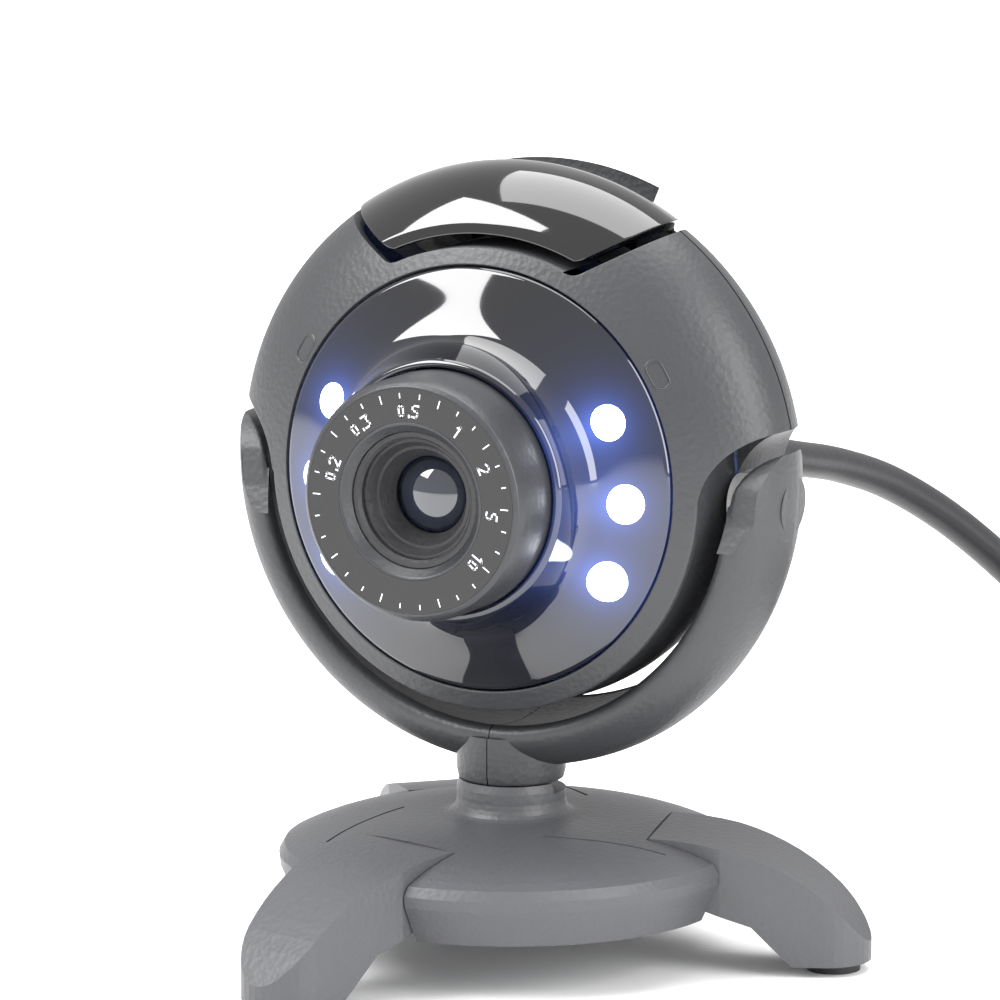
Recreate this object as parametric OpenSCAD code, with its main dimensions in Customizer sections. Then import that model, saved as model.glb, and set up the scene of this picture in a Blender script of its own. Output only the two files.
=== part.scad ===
// Desk webcam: a round head in a two-piece yoke on a swivelling stem, standing on a
// small tripod hub with three fold-down legs. The lens looks along -Y, +Z is up, and
// the origin is on the ground under the stem's axis. Millimetres.

/* [Head] */
// Largest radius of the head's shell, at its rim
head_r = 27.25; // [24:0.25:33]
// Radius of the glossy face plate
face_r = 19; // [17:0.25:20]
// How far the face plate's rim stands ahead of the stem's axis
face_front = 7.1; // [6:0.1:9]
// Wall thickness of the head's shells
wall = 1.6; // [1.2:0.1:2]
// Gap left at a visible seam between two shells of one body
seam = 0.1; // [0.04:0.01:0.2]

/* [Yoke and tilt] */
// Thickness of the yoke's ring, from its inner ball surface to the rim
yoke_t = 3.85; // [3:0.05:5]
// Gap between the head's ball and the yoke
yoke_gap = 2; // [1.6:0.1:2.5]
// Radius of the arms' round tops, about the tilt axis
arm_r = 4.9; // [4:0.1:5.5]
// Drop of the tilt axis below the lens axis
pivot_drop = 1.6; // [0:0.1:3]
// Distance of the tilt axis behind the stem's axis
pivot_back = 1.5; // [0:0.1:3]
// Diameter of the tilt pins
pivot_d = 3; // [2:0.1:4]
// Diameter of the tilt pins' round caps
cap_d = 5.1; // [4.6:0.1:6.5]

/* [Lens and focus ring] */
// Largest radius of the focus ring
knob_r = 10.8; // [10:0.1:11.4]
// How far the focus ring's front stands ahead of the stem's axis
knob_front = 19.8; // [18:0.1:22]
// Outer radius of the lens barrel
barrel_r = 6; // [5.5:0.1:6.3]
// Pitch of the lens thread, which the coupling of turn and travel follows
lens_pitch = 0.5; // [0.35:0.05:0.75]
// Radial clearance of turning fits
run = 0.05; // [0.02:0.01:0.1]

/* [Lamps] */
// Diameter of the six lamps
lamp_d = 5; // [4:0.1:5.2]
// Radius of the circle that the lamps stand on
lamp_ring_r = 14.66; // [14.4:0.02:15]
// Angle between neighbouring lamps
lamp_step = 27.6; // [25:0.1:32]
// Drop of the lamps' circle below the lens axis
lamp_drop = 0.8; // [0:0.1:1.5]

/* [Snapshot button] */
// Travel of the button on top of the head
press = 0.8; // [0.4:0.1:1]
// Radius of the cut-out's arched floor
notch_r = 20.6; // [20.4:0.1:21]
// Half width of the cut-out at the ends of its arched floor
notch_half = 9; // [7:0.1:11]
// Rise of the cut-out's sides, as an angle
notch_rise = 28; // [20:1:35]

/* [Stem and hub] */
// Radius of the stem and of the hub's collar
stem_r = 4.93; // [4.4:0.01:6]
// Height of the hub's flat top above the ground
hub_top = 13; // [12:0.5:18]
// Height of the collar above the hub's top
collar_h = 3.2; // [2:0.1:6]
// Distance from the collar's top up to the lowest point of the yoke's ring
stem_gap = 1.05; // [0.6:0.05:6]
// Radius of the hub
hub_r = 21; // [19:0.25:26]
// Drop of the hub's domed top at its edge
dome_drop = 2.9; // [2:0.1:4]
// Half of the swivel's range, in degrees each way
swivel_half = 90; // [45:5:100]

/* [Legs] */
// Distance of a leg's tip from the stem's axis
leg_reach = 33; // [28:0.5:45]
// Width of a leg at its hinge
leg_w = 11.2; // [8:0.2:13]
// Distance of the leg hinges from the stem's axis
hinge_r = 16.2; // [15.5:0.1:17]
// Height of the leg hinges above the ground
hinge_z = 8.4; // [8:0.1:9]
// Diameter of the leg pins
leg_pin_d = 1.8; // [1.4:0.1:2.4]
// Direction of the first leg, counted from +X
leg_turn = 14; // [-30:1:30]

/* [Cable] */
// Outer diameter of the cable
cable_d = 3.5; // [3:0.1:4.5]
// Mean radius of the stored coil
coil_r = 19.25; // [17:0.25:26]
// Turns that lie side by side and on each other in the coil
coil_rows = 3; // [2:1:4]

/* [Hidden] */
$fn = 96;
eps = 0.01;
fit = 0.15;
legs = 3;
head_h = hub_top + collar_h + stem_gap + head_r;
ball_r = head_r - yoke_t - yoke_gap;
ball_back = pivot_back;
socket_r = ball_r + yoke_gap;
lip_r = ball_r - 0.3;
lip_front = face_front - 1.2;
pocket_r = arm_r + yoke_gap;
pocket_x = head_r + 0.75;
arm_side_r = arm_r + 0.3;
stem_seam = hub_top + collar_h;
lamp_hole_r = lamp_d / 2 + 0.3;
plate_t = 1.6;
collar_r = knob_r + 0.2;
collar_front = knob_front - 5.8;
pcb_r = 16.2;
pcb_t = 1.6;
pcb_back = -4.4;
screw_ring_r = 18.2;
screw_angles = [50, 130, 230, 310];
slot_gap = fit;
hinge_wall = 1.6;
floor_z = 5.2;
floor_t = 1.4;
hub_screw_r = 13;
gland_drop = 4;
gland_end = 36;
coil_centre = [44, 84];
bundle = coil_rows * cable_d;
plug_at = [71, 62];

// Points of the cable from the boot to the coil, and from the coil to the plug
lead_route = [
  [0, 36.4, 40.3], [0, 44, 39.3], [0.6, 52, 37.9], [1.6, 60, 36.2], [2.6, 67, 34.6],
  [4.5, 75, 31.8], [7.5, 82.5, 27.4], [11, 89.5, 21.6], [14.5, 95.5, 15.2],
  [18.5, 100.2, 9], [23.4, 103.5, 4.2], [28.4, 105.4, 2.2]
];
tail_route = [[70.7, 86, 2], [70.9, 78, 2.4], [71, 70, 3.6], [71, 65, 4], [71, 62.05, 4]];

// ---- Curves ----

// A point of the cubic Bezier curve through a and d, pulled towards b and c
function bezier_at(a, b, c, d, t) =
  a * pow(1 - t, 3) + b * 3 * t * pow(1 - t, 2) + c * 3 * t * t * (1 - t) + d * pow(t, 3);

function bezier(a, b, c, d, n, stop = 1) = [for (i = [0:n]) bezier_at(a, b, c, d, stop * i / n)];

function arc(centre, r, from, to, n) =
  [for (i = [0:n]) let (q = from + (to - from) * i / n) centre + r * [cos(q), sin(q)]];

// Front and rear halves of the upper shell's profile, as [radius, distance ahead], inset by g
function upper_front(g) = bezier(
  [face_r + 0.2 - g * 0.4, face_front - 0.2 - g], [face_r + 0.53 * (head_r - face_r) - g * 0.4,
  face_front - 2.1 - g * 0.9], [head_r - 0.15 - g * 0.9, 2.6 - g * 0.45], [head_r - g, -ball_back], 14);

function upper_rear(g, stop = 1) = bezier(
  [head_r - g, -ball_back], [head_r - 0.1 - g, -4.3 + g * 0.1], [head_r - 3.05 - g * 0.85,
  -11 + g * 0.55], [ball_r * 0.79 - g * 0.5, -ball_back - ball_r * 0.613 + g * 0.87], 14, stop);

// ---- Placing ----

// A lathe about the lens axis: the profile holds [radius, distance ahead]
module lens_lathe(profile) {
  translate([0, 0, head_h]) rotate([90, 0, 0]) rotate_extrude($fn = 144) polygon(profile);
}

// A disc or ring about an axis parallel to the lens axis, from back to front
module lens_disc(r, back, front, bore = 0, at = [0, 0]) {
  translate([at[0], -back, head_h + at[1]]) rotate([90, 0, 0]) difference() {
    cylinder(r = r, h = front - back);
    if (bore > 0) translate([0, 0, -1]) cylinder(r = bore, h = front - back + 2);
  }
}

// A box centred on the lens axis, from back to front
module lens_box(w, h, back, front, at = [0, 0]) {
  translate([at[0] - w / 2, -front, head_h + at[1] - h / 2]) cube([w, front - back, h]);
}

// A drawing in the front view, seen from the front, made solid from back to front
module front_view(back, front) {
  translate([0, -back, head_h]) rotate([90, 0, 0]) linear_extrude(front - back) children();
}

// A drawing in the side view made solid across the whole width
module side_view(w) {
  translate([-w / 2, 0, head_h]) rotate([90, 0, 90]) linear_extrude(w) children();
}

// A cylinder about the tilt axis, from x0 to x1 on the side that s names
module tilt_disc(s, r, x0, x1) {
  translate([s > 0 ? x0 : -x1, pivot_back, head_h - pivot_drop]) rotate([40, 0, 0])
    rotate([0, 90, 0]) cylinder(r = r, h = x1 - x0);
}

module leg_place(i) {
  rotate([0, 0, leg_turn + i * 360 / legs]) children();
}

// ---- Shapes that pieces share ----

module ball(r) {
  translate([0, ball_back, head_h]) sphere(r = r, $fn = 144);
}

// The lower body: a ball behind a thin lip round the face plate
module lower_body() {
  lens_lathe(concat(
    [[0, face_front - 0.2], [face_r + 0.2, face_front - 0.2], [lip_r, lip_front],
     [lip_r, lip_front - 0.9]],
    arc([0, -ball_back], ball_r, asin((lip_front - 1.2 + ball_back) / ball_r), -90, 30)));
}

module upper_body(g) {
  lens_lathe(concat([[0, face_front - 0.2 - g]], upper_front(g), upper_rear(g),
    [[0, -ball_back - ball_r * 0.613 + g * 0.87]]));
}

// The part of the front view that the upper shell fills: it arches over both arms
module shoulders(g) {
  difference() {
    translate([-2 * head_r, -pivot_drop]) square([4 * head_r, 2 * head_r]);
    for (s = [-1, 1]) {
      translate([s * pocket_x, -pivot_drop]) circle(r = pocket_r + g);
      translate([s > 0 ? pocket_x : -pocket_x - head_r, -pivot_drop - 1])
        square([head_r, pocket_r + g + 1]);
    }
  }
}

// The outline of the button's cut-out in the front view, moved up by g all round
function notch_corner(g) =
  let (r = notch_r + g, corner = 1.6, d = [cos(notch_rise), sin(notch_rise)], n = [-d[1], d[0]],
    foot = [notch_half, sqrt(notch_r * notch_r - notch_half * notch_half)] + n * (g + corner),
    b = foot * d, c = foot * foot - pow(r + corner, 2)) foot + d * (-b + sqrt(b * b - c));

function notch_side(g) =
  let (corner = 1.6, p = notch_corner(g), lean = atan2(p[0], p[1])) concat(
    arc([0, 0], notch_r + g, 90, 90 - lean, 8),
    arc(p, corner, 270 - lean, 270 + notch_rise, 6),
    [p + corner * [sin(notch_rise), -cos(notch_rise)] + 30 * [cos(notch_rise), sin(notch_rise)]]);

module notch(g) {
  half = notch_side(g);
  polygon(concat([[0, 60]], [for (p = half) [-p[0], p[1]]]));
  polygon(concat([[0, 60]], half));
}

module screw_post(r, back, front) {
  for (a = screw_angles) {
    lens_disc(r, back, front, at = screw_ring_r * [cos(a), sin(a)]);
  }
}

// The head's outer form and the space inside it
module head_form() {
  difference() {
    union() {
      lower_body();
      intersection() {
        upper_body(0);
        front_view(-30, 20) shoulders(0);
      }
      for (s = [-1, 1]) tilt_disc(s, 4, ball_r - 3, ball_r + 0.15);
    }
    front_view(-8.4, 30) notch(0);
  }
}

module head_space() {
  difference() {
    union() {
      intersection() {
        ball(ball_r - wall);
        front_view(-30, 4.2) circle(r = ball_r);
      }
      intersection() {
        upper_body(wall);
        front_view(-30, 4.2) shoulders(wall);
      }
      lens_disc(face_r - 1.2, 0, 20);
    }
    front_view(-10, 30) notch(-wall);
    for (s = [-1, 1]) tilt_disc(s, 4, ball_r - 3.6, ball_r + 1);
  }
}

// ---- Head shells ----

module front_shell() {
  color("dimgray") difference() {
    intersection() {
      union() {
        difference() {
          head_form();
          head_space();
        }
        screw_post(1.9, -ball_back - 1, 4.3);
      }
      front_view(-ball_back + seam / 2, 30) square(4 * head_r, center = true);
    }
    lens_disc(face_r + 0.1, face_front - 0.1 - plate_t, 20);
    screw_post(0.97, -6, 3.2);
    for (s = [-1, 1]) {
      tilt_disc(s, pivot_d / 2 + run, 10, 40);
      microphone_slot(s);
    }
  }
}

// A rounded slot through the shell for sound
module microphone_slot(s) {
  slot_at = 20.4;
  slot_angle = 31;
  slot_l = 1.3;
  slot_w = 1.2;
  translate([0, 0, head_h]) mirror([s < 0 ? 1 : 0, 0, 0]) rotate([0, -slot_angle, 0])
    for (end = [-1, 1]) {
      translate([slot_at, 0, end * slot_l / 2]) rotate([90, 0, 0]) cylinder(d = slot_w, h = 9);
      translate([slot_at - slot_w / 2, -9, -slot_l / 2]) cube([slot_w, 9, slot_l]);
    }
}

module rear_shell() {
  color("dimgray") difference() {
    intersection() {
      union() {
        difference() {
          head_form();
          head_space();
        }
        intersection() {
          union() {
            screw_post(2.9, -20, -8.2);
            screw_post(1.9, -20, -ball_back - 0.1);
          }
          union() {
            ball(ball_r - 0.3);
            intersection() {
              upper_body(0.3);
              front_view(-30, 20) shoulders(0.3);
            }
          }
        }
      }
      front_view(-40, -ball_back - seam / 2) square(4 * head_r, center = true);
    }
    screw_post(1.15, -20, 0);
    screw_post(2.1, -30, -9.4);
    for (s = [-1, 1]) tilt_disc(s, pivot_d / 2 + run, 10, 40);
    lens_disc(3.1, -40, -10, at = [0, -gland_drop]);
    lens_disc(4.1, -40, -ball_back - ball_r + 0.25, at = [0, -gland_drop]);
    button_path(0.3);
  }
}

// The channel through the cut-out's floor that the button's stalk runs in
module button_path(g) {
  translate([0, 5, head_h + 17]) cylinder(r = 1.4 + g, h = 6);
}

module shell_screws() {
  color("silver") {
    screw_post(0.95, -9.6, 2.8);
    screw_post(1.9, -10.9, -9.42);
  }
}

// ---- Face plate, lamps and boards ----

module face_plate() {
  rim = face_front;
  back = face_front - plate_t;
  color("black") difference() {
    lens_lathe(concat(
      [[collar_r, back - 1], [face_r - 2, back - 1], [face_r - 2, back], [face_r, back], [face_r, rim - 0.3]],
      bezier([face_r - 0.25, rim], [face_r - 3, rim + 1.1], [collar_r + 3.2, rim + 1.5],
        [collar_r + 2.2, rim + 2.4], 8),
      bezier([collar_r + 2.2, rim + 2.4], [collar_r + 1.4, rim + 3.2], [collar_r + 0.9, collar_front - 1.6],
        [collar_r + 0.7, collar_front - 0.3], 6),
      [[collar_r + 0.4, collar_front], [collar_r, collar_front]]));
    lens_disc(collar_r + 0.3, 0, collar_front - 3.4);
    for (i = [0:5]) lens_disc(lamp_hole_r, 0, 20, at = lamp_at(i));
  }
}

function lamp_at(i) =
  let (side = i < 3 ? 1 : -1, q = (i % 3 - 1) * lamp_step)
    [side * lamp_ring_r * cos(q), lamp_ring_r * sin(q) - lamp_drop];

module lamp(i) {
  lamp_base = 0.6;
  dome_from = face_front - 0.4;
  color("white") {
    lens_disc(lamp_d / 2, lamp_base, dome_from, at = lamp_at(i));
    lens_disc(lamp_d / 2 + 0.4, lamp_base, lamp_base + 1, at = lamp_at(i));
    translate([lamp_at(i)[0], -dome_from, head_h + lamp_at(i)[1]]) intersection() {
      sphere(r = lamp_d / 2, $fn = 48);
      translate([-lamp_d, -lamp_d, -lamp_d]) cube([2 * lamp_d, lamp_d + 0.2, 2 * lamp_d]);
    }
    for (s = [-1, 1]) lens_disc(0.25, -2, lamp_base + 0.2, at = lamp_at(i) + [0, s * 1.27]);
  }
}

module lamp_board() {
  color("darkgreen") difference() {
    lens_disc(17, -0.6, 0.5, bore = 11.8);
    screw_post(2.3, -2, 2);
    for (i = [0:5], s = [-1, 1]) lens_disc(0.4, -2, 2, at = lamp_at(i) + [0, s * 1.27]);
  }
}

module main_board() {
  color("darkgreen") difference() {
    lens_disc(pcb_r, pcb_back - pcb_t, pcb_back);
    screw_post(2.3, -8, 0);
    lens_box(13, 12, -8, 0, at = [0, 17.3]);
  }
}

module control_chip() {
  color("black") lens_box(7, 7, pcb_back - pcb_t - 1, pcb_back - pcb_t, at = [0, 6]);
}

module image_sensor() {
  color("black") lens_box(7, 7, pcb_back, pcb_back + 0.9);
}

module lens_holder() {
  base_front = -0.9;
  tube_r = barrel_r + 1.6;
  color("black") difference() {
    union() {
      lens_box(15, 15, pcb_back, base_front);
      lens_disc(tube_r, base_front, 9);
      lens_disc(knob_r + 0.4, 7, 8);
    }
    lens_box(9, 9, pcb_back - 1, pcb_back + 2);
    lens_disc(3, -3, 0);
    lens_box(8.1, 8.1, pcb_back + 2.6, pcb_back + 3);
    lens_disc(barrel_r + run, pcb_back + 3, 20);
  }
}

module infrared_filter() {
  color("lightblue") lens_box(8, 8, pcb_back + 2.62, pcb_back + 2.95);
}

microphone_at = 20.4 * [cos(31), sin(31)];

module microphone() {
  color("silver") lens_disc(2, 1, 2.5, at = microphone_at);
}

module microphone_sleeve() {
  color("black") lens_disc(2.6, 0.6, 2.9, bore = 2.02, at = microphone_at);
}

module strain_relief() {
  shell_back = -ball_back - ball_r;
  color("black") {
    lens_lathe_at_gland(concat(
      [[0, 3 + shell_back], [3, 3 + shell_back], [3, shell_back + 0.2], [3.9, shell_back + 0.2],
       [3.9, shell_back - 1.1]],
      [for (i = [0:7]) let (back = shell_back - 1.3 - i * 1.5) each
        [[3.3 - i * 0.13, back], [3.3 - i * 0.13, back - 1], [2.7 - i * 0.08, back - 1.1],
         [2.7 - i * 0.08, back - 1.4]]],
      [[2.1, -gland_end], [0, -gland_end]]));
  }
}

module lens_lathe_at_gland(profile) {
  translate([0, 0, -gland_drop]) lens_lathe(profile);
}

// ---- Focus ring and lens ----

module focus_ring() {
  back = face_front + 2.1;
  flange = 1;
  color("dimgray") difference() {
    lens_lathe([
      [barrel_r + 2.4, back], [collar_r + 0.15, back], [collar_r + 0.15, back + flange],
      [knob_r, back + flange], [knob_r, knob_front - 1.3], [knob_r - 0.35, knob_front - 0.35],
      [knob_r - 0.7, knob_front], [knob_r - 0.8, knob_front], [knob_r - 0.8, knob_front - 0.4],
      [barrel_r + 0.95, knob_front - 0.4], [barrel_r + 0.95, knob_front],
      [barrel_r + 0.77, knob_front], [barrel_r + 0.2, knob_front - 0.6],
      [barrel_r + run, knob_front - 0.7], [barrel_r + run, knob_front - 5.8],
      [barrel_r + 2.4, knob_front - 5.8]]);
    lens_box(1.1, 1.6, knob_front - 6, knob_front - 0.7, at = [0, barrel_r + 0.2]);
  }
}

// The printed trim ring, with a raised tick and dots for near and far
module scale_ring() {
  front = knob_front - 0.02;
  color("black") lens_disc(knob_r - 0.83, knob_front - 0.38, front, bore = barrel_r + 0.98);
}

module wave_washer() {
  color("silver") lens_disc(collar_r + 0.1, face_front + 1.1, face_front + 1.9, bore = barrel_r + 2.5);
}

module lens_barrel() {
  back = pcb_back + 4.6;
  front = knob_front - 0.9;
  color("black") {
    lens_lathe([
      [3.3, back], [barrel_r, back], [barrel_r, front], [barrel_r - 0.4, front],
      [barrel_r - 0.65, front - 0.3], [barrel_r - 0.65, front - 3.5], [3.75, front - 3.5],
      [3.75, front - 5.3], [2.6, front - 5.3], [2.6, back + 4.3], [3.3, back + 4.3]]);
    lens_box(0.9, 0.5, front - 4.5, front - 1, at = [0, barrel_r + 0.24]);
  }
}

module front_lens() {
  seat = knob_front - 6.15;
  cap_r = 4.6;
  edge_r = 3.4;
  color("lightblue") lens_lathe(concat(
    [[0, seat], [3.7, seat], [3.7, seat + 1.6], [edge_r, seat + 1.7]],
    arc([0, seat + 1.7 - sqrt(cap_r * cap_r - edge_r * edge_r)], cap_r, acos(edge_r / cap_r), 90, 10)));
}

module rear_lens() {
  back = pcb_back + 5.2;
  color("lightblue") lens_lathe(concat(arc([0, back + 8], 8, -90, -66, 6),
    [[3.2, back + 2.6], [0, back + 2.6]]));
}

module lens_retainer() {
  back = knob_front - 4.37;
  front = knob_front - 1.6;
  color("black") lens_lathe([
    [3.45, back], [barrel_r - 0.68, back], [barrel_r - 0.68, front], [barrel_r - 0.95, front],
    [4.55, front - 0.9], [4.3, front - 0.9], [3.45, back + 0.3]]);
}

// ---- Snapshot button ----

module snapshot_button() {
  sink = press + 0.4;
  proud = 0.3;
  color("black") {
    difference() {
      intersection() {
        upper_body(-proud);
        front_view(-7.8, 20) notch_lifted(sink);
      }
      intersection() {
        upper_body(1.5);
        front_view(-6.6, 20) notch_lifted(sink + 1.2);
      }
    }
    translate([0, 5, head_h + 17.4]) cylinder(r = 1.4, h = 7.2);
  }
}

// The cut-out's outline lifted straight up, so that the button can travel down by that much
module notch_lifted(lift) {
  translate([0, lift]) notch(0);
}

module switch_plunger() {
  color("white") translate([0, 5, head_h + 15.4]) cylinder(r = 1.2, h = 1.95);
}

module switch_body() {
  color("black") difference() {
    translate([-3, 2, head_h + 13]) cube([6, 6, 2.9]);
    translate([0, 5, head_h + 13.6]) cylinder(r = 1.3, h = 4);
  }
  color("black") translate([0, 5, head_h + 13.1]) cylinder(r = 0.9, h = 1.4);
}

module button_board() {
  color("darkgreen") translate([-5, 1.7, head_h + 11.7]) cube([10, 6.8, 1.25]);
}

// ---- Yoke ----

module yoke_ring() {
  front = 3.6;
  rear_stop = 0.56;
  intersection() {
    difference() {
      lens_lathe(concat(
        [[socket_r - 4, front], [socket_r - 0.5, front]],
        bezier([socket_r - 0.4, front + 0.1], [socket_r - 0.3, front + 1], [socket_r + 0.6, front + 1.1],
          [socket_r + 1.2, front + 0.75], 6),
        bezier([socket_r + 1.35, front + 0.68], [head_r - 1.05, front - 0.2], [head_r - 0.05, 1.4],
          [head_r, -ball_back], 14),
        [for (i = [2:2:14]) upper_rear(0, rear_stop)[i]],
        [[socket_r - 4, -ball_back - 7.1]]));
      ball(socket_r);
    }
    front_view(-40, 40) union() {
      translate([-2 * head_r, -2 * head_r]) square([4 * head_r, 2 * head_r - pivot_drop]);
      for (s = [-1, 1]) translate([s * pocket_x, -pivot_drop]) circle(r = arm_r);
    }
    side_view(4 * head_r) union() {
      translate([pivot_back, -pivot_drop]) circle(r = arm_side_r);
      polygon([for (p = [[-0.97, -0.16], [0.97, -0.16], [1.75, -1.8], [1.75, -12], [-1.55, -12],
        [-1.21, -2.38]]) [pivot_back, -pivot_drop] + arm_side_r * p]);
    }
  }
}

// One half of the yoke, on the side that s names, with its half of the stem
module yoke_half(s) {
  stem_top = head_h - socket_r - 0.6;
  slot_half = 13;
  color("dimgray") difference() {
    intersection() {
      union() {
        yoke_ring();
        translate([0, 0, stem_seam + seam]) cylinder(r1 = stem_r - 0.15, r2 = stem_r, h = 0.8);
        translate([0, 0, stem_seam + seam + 0.8]) cylinder(r = stem_r, h = stem_top - stem_seam - seam - 0.8);
        stop_tab(slot_half - 1);
        tilt_disc(s, 4, socket_r - 0.7, socket_r + 1.5);
      }
      translate([s > 0 ? seam / 2 : -seam / 2 - 60, -60, 0]) cube([60, 120, 100]);
    }
    tilt_disc(s, pivot_d / 2 + 0.02, 10, 40);
    tilt_disc(s, cap_d / 2 + 0.07, head_r - 1.45, head_r + 5);
    post_form(0.03);
    dowel_form(0.02, 6.4);
  }
}

// The tab that stops the swivel, at the back of the stem
module stop_tab(half) {
  translate([0, 0, stem_seam - 0.75]) stem_sector(stem_r - 1.3, stem_r - 0.35, half, 1.5);
}

// A sector of a ring about the stem's axis, centred on the back
module stem_sector(r0, r1, half, h) {
  linear_extrude(h) polygon(concat(
    [for (i = [0:12]) let (q = 90 - half + i * half / 6) r1 * [cos(q), sin(q)]],
    [for (i = [12:-1:0]) let (q = 90 - half + i * half / 6) r0 * [cos(q), sin(q)]]));
}

module yoke_left() { yoke_half(-1); }
module yoke_right() { yoke_half(1); }

module tilt_pin(s) {
  shoulder = head_r - 1.4;
  color("dimgray") intersection() {
    union() {
      tilt_disc(s, pivot_d / 2, ball_r - 3.6, shoulder + 0.5);
      tilt_disc(s, cap_d / 2, shoulder, head_r + 2);
    }
    ball(head_r - 0.08);
  }
}

module tilt_pin_left() { tilt_pin(-1); }
module tilt_pin_right() { tilt_pin(1); }

module tilt_washer(s) {
  color("gainsboro") difference() {
    tilt_disc(s, 2.5, ball_r + 0.25, socket_r - 0.75);
    tilt_disc(s, pivot_d / 2 + 0.1, 0, 50);
  }
}

module tilt_washer_left() { tilt_washer(-1); }
module tilt_washer_right() { tilt_washer(1); }

// The pin across the seam that keeps the two halves in line
module dowel_form(g, l) {
  translate([-l / 2, pivot_back + 4.4, head_h - socket_r - 0.8]) rotate([0, 90, 0])
    cylinder(r = 0.7 + g, h = l, $fn = 32);
}

module yoke_dowel() {
  color("silver") dowel_form(0, 6);
}

// ---- Swivel ----

post_r = 2.2;
post_foot = 9.5;

module post_form(g) {
  flange_top = head_h - socket_r - 1.3;
  translate([0, 0, post_foot - 0.3]) cylinder(r = post_r + g, h = flange_top - post_foot);
  translate([0, 0, flange_top - 1.2 - g]) cylinder(r = 3.4 + g, h = 1.2 + 2 * g);
}

module swivel_post() {
  color("dimgray") difference() {
    post_form(0);
    cylinder(r = 0.8, h = 15, $fn = 32);
  }
}

module swivel_washer() {
  color("silver") difference() {
    translate([0, 0, post_foot - 0.95]) cylinder(r = 4.2, h = 0.6);
    cylinder(r = 1, h = 30, $fn = 32);
  }
}

module swivel_screw() {
  color("silver") {
    translate([0, 0, post_foot - 2.2]) cylinder(r = 2, h = 1.22, $fn = 32);
    translate([0, 0, post_foot - 1]) cylinder(r = 0.78, h = 5.6, $fn = 32);
  }
}

// ---- Hub ----

function dome(r) = hub_top - dome_drop * pow(r / hub_r, 4);

function hub_outline(g) = concat(
  [for (i = [0:14]) let (r = stem_r + 1.7 + i * (hub_r - 0.5 - g - stem_r - 1.7) / 14) [r, dome(r) - g]],
  [[hub_r - g * 0.9, dome(hub_r) - 0.6 - g * 0.5], [hub_r - 0.1 - g, dome(hub_r) - 1.6],
   [hub_r - 1.5 - g, floor_z]]);

// The hinge bay of one leg, wider by g on each side
module leg_bay(g, from_g = 0) {
  translate([hinge_r - 2.6 - from_g, -leg_w / 2 - slot_gap - g, 0]) cube([20, leg_w + 2 * (slot_gap + g), 30]);
}

module leg_pin_form(r, l) {
  translate([hinge_r, -l / 2, hinge_z]) rotate([-90, 0, 0]) cylinder(r = r, h = l, $fn = 32);
}

module hub_shell() {
  pin_l = leg_w + 2 * (slot_gap + hinge_wall) - 0.2;
  color("dimgray") difference() {
    union() {
      rotate_extrude($fn = 144) polygon(concat([[0, floor_z]], [[0, stem_seam]],
        [[stem_r - 0.2, stem_seam], [stem_r, stem_seam - 0.7]],
        bezier([stem_r, hub_top + 1.5], [stem_r + 0.1, hub_top + 0.4], [stem_r + 0.6, hub_top],
          [stem_r + 1.6, hub_top], 6),
        hub_outline(0)));
    }
    difference() {
      rotate_extrude($fn = 144) polygon(concat(
        [[0, 0], [0, post_foot - 0.3], [stem_r + 0.6, post_foot - 0.3]],
        [[stem_r + 0.6, hub_top - wall]], hub_outline(wall), [[hub_r - 1.5 - wall, 0]]));
      for (i = [0:legs - 1]) leg_place(i) leg_bay(hinge_wall, hinge_wall);
      hub_screw_posts(2.1, floor_z + floor_t + 0.05, hub_top);
    }
    hub_screw_posts(0.9, 0, hub_top - 2);
    translate([0, 0, -1]) cylinder(r = post_r + run, h = 40);
    translate([0, 0, stem_seam - 0.9]) stem_sector(stem_r - 1.5, stem_r + 1, swivel_half + 13, 3);
    for (i = [0:legs - 1]) leg_place(i) {
      leg_bay(0);
      leg_pin_form(leg_pin_d / 2 + 0.02, pin_l);
      crease();
    }
  }
}

// A shallow crease in the dome beside each leg
module crease() {
  difference() {
    translate([4.8, -8.9, 0]) rotate([0, 0, 4]) cube([11, 0.3, 20]);
    rotate_extrude() polygon(concat([[0, 0], [0, hub_top - 0.35]], [for (i = [0:10])
      let (r = i * hub_r / 10) [r, dome(r) - 0.35]], [[hub_r, 0]]));
  }
}

module hub_screw_posts(r, z0, z1) {
  for (i = [0:legs - 1]) rotate([0, 0, leg_turn + 60 + i * 360 / legs])
    translate([hub_screw_r, 0, z0]) cylinder(r = r, h = z1 - z0, $fn = 48);
}

module hub_floor() {
  color("dimgray") difference() {
    translate([0, 0, floor_z]) cylinder(r1 = hub_r - 1.65 - wall, r2 = hub_r - 1.25 - wall, h = floor_t);
    for (i = [0:legs - 1]) leg_place(i) leg_bay(hinge_wall + 0.1, hinge_wall + 0.1);
    hub_screw_posts(1.15, 0, 20);
    hub_screw_posts(2, 0, floor_z + 0.8);
  }
}

module hub_screws() {
  color("silver") {
    hub_screw_posts(0.88, floor_z + 0.5, hub_top - 2.3);
    hub_screw_posts(1.85, floor_z + 0.05, floor_z + 0.78);
  }
}

module leg_pins() {
  pin_l = leg_w + 2 * (slot_gap + hinge_wall) - 0.4;
  color("silver") for (i = [0:legs - 1]) leg_place(i) leg_pin_form(leg_pin_d / 2, pin_l);
}

// ---- Legs ----

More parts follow.
